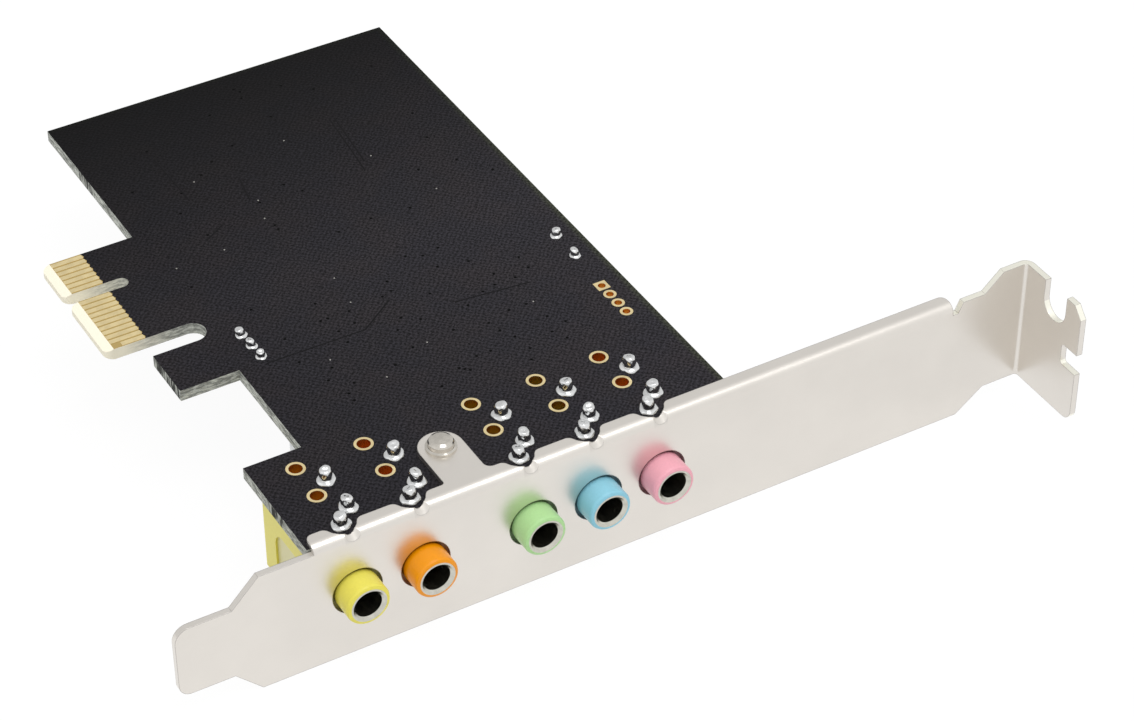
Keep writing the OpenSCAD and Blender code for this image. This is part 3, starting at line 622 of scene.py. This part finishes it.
def chip_part(name, body, pale, start, step, length, cap, tin):
    """Ceramic chip part: a matt fired body with tinned caps on both ends. The parts stand
    in rows along x, so each cap is a band that comes back at the rows' step."""
    material, tree, shader, place = new_material(name)
    axes = add_node(tree, "ShaderNodeSeparateXYZ", {0: place}).outputs
    along = add_node(tree, "ShaderNodeMath", {0: axes[0], 1: row(start, 0)},
                     operation="SUBTRACT").outputs[0]
    cell = add_node(tree, "ShaderNodeMath", {0: along, 1: step * MM},
                    operation="FLOORED_MODULO").outputs[0]
    middle = add_node(tree, "ShaderNodeMath", {0: cell, 1: length / 2 * MM,
                      2: (length / 2 - cap) * MM}, operation="COMPARE").outputs[0]
    noise = add_node(tree, "ShaderNodeTexNoise", {"Vector": place, "Scale": 4000.0,
                     "Detail": 3.0}).outputs[0]
    fired = add_node(tree, "ShaderNodeMix", {0: noise, 6: rgba(body), 7: rgba(pale)},
                     data_type="RGBA").outputs[2]
    colour = add_node(tree, "ShaderNodeMix", {0: middle, 6: rgba(tin), 7: fired},
                      data_type="RGBA").outputs[2]
    tree.links.new(colour, shader.inputs["Base Color"])
    metal = add_node(tree, "ShaderNodeMath", {0: 1.0, 1: middle}, operation="SUBTRACT")
    tree.links.new(metal.outputs[0], shader.inputs["Metallic"])
    rough = add_node(tree, "ShaderNodeMapRange", {0: noise, 3: 0.35, 4: 0.5}).outputs[0]
    tree.links.new(rough, shader.inputs["Roughness"])
    return material


def solder_joints(places, foot, height, bead, around, lean):
    """Points of soldered pin ends. A joint is two arcs turned about its pin: the foot is a
    quarter of an ellipse from the pad's edge up to a crease, and the bead on the pin's end
    is most of a squared ellipse above it. The radius swells and shrinks round the joint as
    two, three and five waves at an angle of its own, and the bead stands aside by its own
    lean in x and y, which grows with the height."""
    crease, middle = 0.25 * height, 0.52 * height
    under, squared = np.pi / 10, 0.3
    low = np.linspace(0, np.pi / 2, 14)
    high = np.linspace(-under, np.pi / 2, 24)[1:]
    neck = bead * np.cos(under) ** squared
    radius = np.concatenate([neck + (foot - neck) * np.cos(low), bead * np.clip(
        np.cos(high), 0, 1) ** squared + 1e-3])
    level = np.concatenate([crease * np.sin(low) - SUNK, middle + np.where(
        high > 0, (height - middle) * np.sin(high),
        (middle - crease) * np.sin(high) / np.sin(under))])
    turn = np.linspace(0, 2 * np.pi, around, endpoint=False)
    spot = np.array(places, float)
    own = (np.arange(len(spot)) * 2.4)[:, None, None]
    step = np.arange(len(radius))[None, :, None]
    swell = 1 + 0.05 * np.cos(2 * turn + own) + 0.035 * np.cos(3 * turn - 1.7 * own) \
        + 0.025 * np.cos(5 * turn + 2.9 * own + 0.35 * step)
    r = radius[None, :, None] * swell
    rise = np.clip(level / height, 0, 1)[None, :, None]
    lean = np.array(lean, float)
    x = spot[:, 0, None, None] + r * np.cos(turn) + rise * lean[:, 0, None, None]
    y = spot[:, 1, None, None] + r * np.sin(turn) + rise * lean[:, 1, None, None]
    z = BOARD_TOP + level[None, :, None] * (1 + 0.04 * np.cos(turn + own))
    return np.stack([x, y, z], -1)


def scattered(zones, seed):
    """Places drawn at random in each zone, set on the half-millimetre grid of a layout."""
    draw = np.random.default_rng(seed)
    return np.unique(np.concatenate([np.round(draw.uniform(first, last, (count, 2)) * 2) / 2
                                     for first, last, count in zones]), axis=0)


def dots(places, radius, height):
    """Points of low round caps on the board: three circles, the last one drawn in and
    raised, so that a cap is a flat dome."""
    spot = np.array(places, float)
    turn = np.linspace(0, 2 * np.pi, 12, endpoint=False)
    r = radius * np.array([1, 0.9, 0.45])[None, :, None]
    z = BOARD_TOP + np.array([-SUNK, 0.5 * height, height])
    x = spot[:, 0, None, None] + r * np.cos(turn)
    y = spot[:, 1, None, None] + r * np.sin(turn)
    return np.stack([x, y, np.broadcast_to(z[None, :, None], x.shape)], -1)


def tracks(runs, width, height):
    """Points of straight copper tracks under the lacquer: the same low trapezium at both
    ends of each run, square to it."""
    ends = np.array(runs, float).reshape(-1, 2, 2)
    along = ends[:, 1] - ends[:, 0]
    along /= np.linalg.norm(along, axis=1)[:, None]
    side = np.stack([-along[:, 1], along[:, 0]], -1)
    across = width * np.array([0.5, 0.3, -0.3, -0.5])
    up = BOARD_TOP + np.array([-SUNK, height, height, -SUNK])
    flat = ends[:, :, None] + across[None, None, :, None] * side[:, None, None]
    return np.concatenate([flat, np.broadcast_to(up[None, None, :, None],
                                                 (*flat.shape[:3], 1))], -1)


def lay_floor(scene, studio):
    """Matt white sweep: a white of its own to the camera and in gloss, with the shadow."""
    material, tree, shader, _ = new_material("white_sweep", Roughness=0.8, **{
        "Base Color": (0.85, 0.85, 0.85, 1), "Specular IOR Level": 0.1})
    rays = add_node(tree, "ShaderNodeLightPath").outputs
    seen = add_node(tree, "ShaderNodeMath", {0: rays["Is Camera Ray"],
                    1: rays["Is Glossy Ray"]}, operation="MAXIMUM").outputs[0]
    seen = add_node(tree, "ShaderNodeMath", {0: seen, 1: rays["Is Transmission Ray"]},
                    operation="MAXIMUM").outputs[0]
    share = add_node(tree, "ShaderNodeMath", {0: seen, 1: 0.93}, operation="MULTIPLY")
    white = add_node(tree, "ShaderNodeEmission", {"Color": (1, 1, 1, 1), "Strength": 1.02})
    mixed = add_node(tree, "ShaderNodeMixShader", {0: share.outputs[0],
                     1: shader.outputs[0], 2: white.outputs[0]})
    output = next(n for n in tree.nodes if n.type == "OUTPUT_MATERIAL")
    tree.links.new(mixed.outputs[0], output.inputs["Surface"])
    mesh = bpy.data.meshes.new("floor")
    mesh.from_pydata([(x * FLOOR_HALF, y * FLOOR_HALF, studio.floor) for x, y in (
        (-1, -1), (1, -1), (1, 1), (-1, 1))], [], [(0, 1, 2, 3)])
    mesh.materials.append(material)
    floor = bpy.data.objects.new("floor", mesh)
    scene.collection.objects.link(floor)


def light_room(scene, studio):
    """White surroundings that the camera and bright metal see, and their diffuse light."""
    world = bpy.data.worlds.new("white_room")
    world.use_nodes = True
    tree = world.node_tree
    tree.nodes.clear()
    rays = add_node(tree, "ShaderNodeLightPath").outputs
    seen = add_node(tree, "ShaderNodeMath", {0: rays["Is Camera Ray"],
                    1: rays["Is Glossy Ray"]}, operation="MAXIMUM").outputs[0]
    # In gloss the far wall is a little darker, so that bright metal has something to show
    way = add_node(tree, "ShaderNodeSeparateXYZ", {
        0: add_node(tree, "ShaderNodeTexCoord").outputs["Generated"]}).outputs
    wall = add_node(tree, "ShaderNodeMapRange", {0: way[1], 1: -0.1, 2: 1.0, 3: 1.0,
                    4: 0.66}).outputs[0]
    wall = add_node(tree, "ShaderNodeMath", {0: wall, 1: rays["Is Camera Ray"]},
                    operation="MAXIMUM").outputs[0]
    # The diffuse light falls mostly from above, as from a white ceiling
    ceiling = add_node(tree, "ShaderNodeMapRange", {0: way[2], 1: 0.0, 2: 1.0,
                       3: 0.25 * studio.world, 4: 1.7 * studio.world}).outputs[0]
    strength = add_node(tree, "ShaderNodeMapRange", {0: seen, 3: ceiling, 4: wall})
    back = add_node(tree, "ShaderNodeBackground", {"Color": (1, 1, 1, 1),
                    "Strength": strength.outputs[0]})
    add_node(tree, "ShaderNodeOutputWorld", {"Surface": back.outputs[0]})
    scene.world = world


def hang_softboxes(scene, studio):
    """Two square lamps turned to the card."""
    for name, power, spot in (("key_softbox", studio.key, KEY_PLACE),
                              ("side_softbox", studio.side, SIDE_PLACE)):
        lamp = bpy.data.lights.new(name, "AREA")
        lamp.energy = power
        lamp.size = SOFTBOX
        thing = bpy.data.objects.new(name, lamp)
        thing.location = spot
        aim = np.array(AIM) - np.array(spot)
        z = -aim / np.linalg.norm(aim)
        x = np.cross((0, 0, 1), z)
        x /= np.linalg.norm(x)
        thing.matrix_world = Matrix.Translation(spot) @ Matrix(
            np.stack([x, np.cross(z, x), z], 1).tolist()).to_4x4()
        scene.collection.objects.link(thing)


def place_camera(scene, studio):
    """The camera of the photograph."""
    camera = bpy.data.cameras.new("camera")
    camera.sensor_width = 36
    camera.lens = studio.lens
    thing = bpy.data.objects.new("camera", camera)
    thing.location = studio.camera_place
    thing.rotation_euler = studio.camera_turn
    scene.collection.objects.link(thing)
    scene.camera = thing


class CARD_OT_board(bpy.types.Operator):
    """Circuit board with its gold contacts and plated holes"""
    bl_idname = "card.board"
    bl_label = "Board"

    def execute(self, context):
        finish, surface = context.scene.card_finish, context.scene.card_surface
        paint("circuit_board", solder_mask_board(finish, surface))
        gold = gold_plate(finish)
        for node in ("contacts_solder_side", "contacts_part_side", "hole_rings", "header_rings"):
            paint(node, gold)
        lacquer = moulded_plastic("mask_in_vias", finish.via, 0.4, 0.3, 0.03)
        copper = moulded_plastic("mask_over_copper", finish.track, 0.5, 0.3, 0.06)
        vias = closed_surface("covered_vias", dots(
            scattered(VIA_ZONES, VIA_SEED), surface.via, VIA_RISE), lacquer)
        runs = closed_surface("covered_tracks", tracks(
            TRACKS, surface.track, TRACK_RISE), copper, False)
        pale = bright_metal("open_via_tin", finish.open_via, 0.4, 0.3, 0.2)
        glints = closed_surface("open_vias", dots(
            scattered(OPEN_VIA_ZONES, OPEN_VIA_SEED), surface.open_via, OPEN_VIA_RISE), pale)
        return {"FINISHED"}


class CARD_OT_bracket(bpy.types.Operator):
    """Slot bracket and the rivet that holds its tab"""
    bl_idname = "card.bracket"
    bl_label = "Bracket"

    def execute(self, context):
        finish = context.scene.card_finish
        paint("bracket", nickel_plated_steel(finish))
        paint("bracket_rivet", bright_metal("bright_nickel", finish.rivet, 0.13, 0.6, 0.2))
        return {"FINISHED"}


class CARD_OT_jacks(bpy.types.Operator):
    """Five jacks: moulded housings, plated sleeves and leaf springs"""
    bl_idname = "card.jacks"
    bl_label = "Jacks"

    def execute(self, context):
        finish = context.scene.card_finish
        sleeve = bright_metal("nickel_plated_brass", finish.sleeve, 0.24, 0.8, 0.1)
        spring = bright_metal("phosphor_bronze", finish.bronze, 0.25, 0.5, 0.1, finish.tin)
        for colour, x in zip(COLOURS, JACK_X):
            paint(f"{colour}_jack_housing",
                  moulded_plastic(f"{colour}_pbt", getattr(finish, colour), jack=x))
            paint(f"{colour}_jack_sleeve", sleeve)
            paint(f"{colour}_jack_ring_spring", spring)
            paint(f"{colour}_jack_tip_spring", spring)
        return {"FINISHED"}


class CARD_OT_solder(bpy.types.Operator):
    """Solder over the ends of the pins and leads"""
    bl_idname = "card.solder"
    bl_label = "Solder"

    def execute(self, context):
        finish, surface = context.scene.card_finish, context.scene.card_surface
        tin = bright_metal("tin_solder", finish.tin, 0.14, 0.9, 0.35)
        joints = closed_surface("jack_joints", solder_joints(
            [(x + aside, y) for x in JACK_X for aside, y, _ in PINS], surface.fillet,
            surface.joint, surface.bead, surface.around,
            [(lean, PIN_LEAN_Y) for x in JACK_X for _, _, lean in PINS]), tin)
        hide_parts("jack_solder")
        small = closed_surface("lead_joints", solder_joints(
            LEADS, surface.lead_foot, surface.lead_joint, surface.lead_bead,
            surface.around, LEAD_LEANS), tin)
        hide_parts("lead_solder")
        return {"FINISHED"}


class CARD_OT_components(bpy.types.Operator):
    """Parts on the board's other side"""
    bl_idname = "card.components"
    bl_label = "Components"

    def execute(self, context):
        finish = context.scene.card_finish
        epoxy = moulded_plastic("black_epoxy", finish.epoxy, 0.5, 0.15)
        tinned = bright_metal("tinned_copper", finish.tin, 0.25, 0.5, 0.1)
        for node in ("bridge_chip", "audio_chip"):
            paint(node, epoxy)
        paint("regulator", moulded_plastic(
            "epoxy_and_leads", finish.epoxy, 0.5, 0.15,
            leads=(REGULATOR_BODY_X, finish.lead)))
        for node in ("bridge_chip_leads", "audio_chip_leads"):
            paint(node, tinned)
        can = bright_metal("nickel_silver_can", finish.crystal, 0.3, 0.7, 0.1)
        for node in ("audio_crystal", "bridge_crystal"):
            paint(node, can)
        paint("capacitor_cans", bright_metal("drawn_aluminium", finish.aluminium, 0.35, 0.5,
                                             0.1))
        paint("capacitor_bases", moulded_plastic("black_pps", finish.base, 0.5))
        paint("chip_capacitors", chip_part(
            "fired_ceramic", finish.ceramic, finish.ceramic_pale, start=32, step=4.8,
            length=1.6, cap=0.35, tin=finish.tin))
        paint("chip_resistors", chip_part(
            "thick_film", finish.film, finish.film_pale, start=34, step=4.8,
            length=1.6, cap=0.3, tin=finish.tin))
        return {"FINISHED"}


class CARD_OT_studio(bpy.types.Operator):
    """White floor and surroundings, two softboxes and the camera"""
    bl_idname = "card.studio"
    bl_label = "Studio"

    def execute(self, context):
        scene, studio = context.scene, context.scene.card_studio
        for build in (lay_floor, light_room, hang_softboxes, place_camera):
            build(scene, studio)
        scene.view_settings.view_transform = "Standard"
        return {"FINISHED"}


class CARD_PT_looks(bpy.types.Panel):
    """Finishes, surfaces and studio of the sound card"""
    bl_label = "Sound card"
    bl_idname = "CARD_PT_looks"
    bl_space_type = "VIEW_3D"
    bl_region_type = "UI"
    bl_category = "Sound card"

    def draw(self, context):
        for group in ("card_finish", "card_surface", "card_studio"):
            box = self.layout.box()
            settings = getattr(context.scene, group)
            for name in settings.__annotations__:
                box.prop(settings, name)
        for operator in OPERATORS:
            self.layout.operator(operator.bl_idname)


GROUPS = {"card_finish": CardFinish, "card_surface": CardSurface, "card_studio": CardStudio}
OPERATORS = (CARD_OT_board, CARD_OT_bracket, CARD_OT_jacks, CARD_OT_solder,
             CARD_OT_components, CARD_OT_studio)


def register():
    for kind in (*GROUPS.values(), *OPERATORS, CARD_PT_looks):
        bpy.utils.register_class(kind)
    for name, kind in GROUPS.items():
        setattr(bpy.types.Scene, name, PointerProperty(type=kind))


def unregister():
    for name in GROUPS:
        delattr(bpy.types.Scene, name)
    for kind in (CARD_PT_looks, *OPERATORS[::-1], *GROUPS.values()):
        bpy.utils.unregister_class(kind)


def main():
    register()
    for operator in ("board", "bracket", "jacks", "solder", "components", "studio"):
        getattr(bpy.ops.card, operator)()


if __name__ == "__main__":
    main()
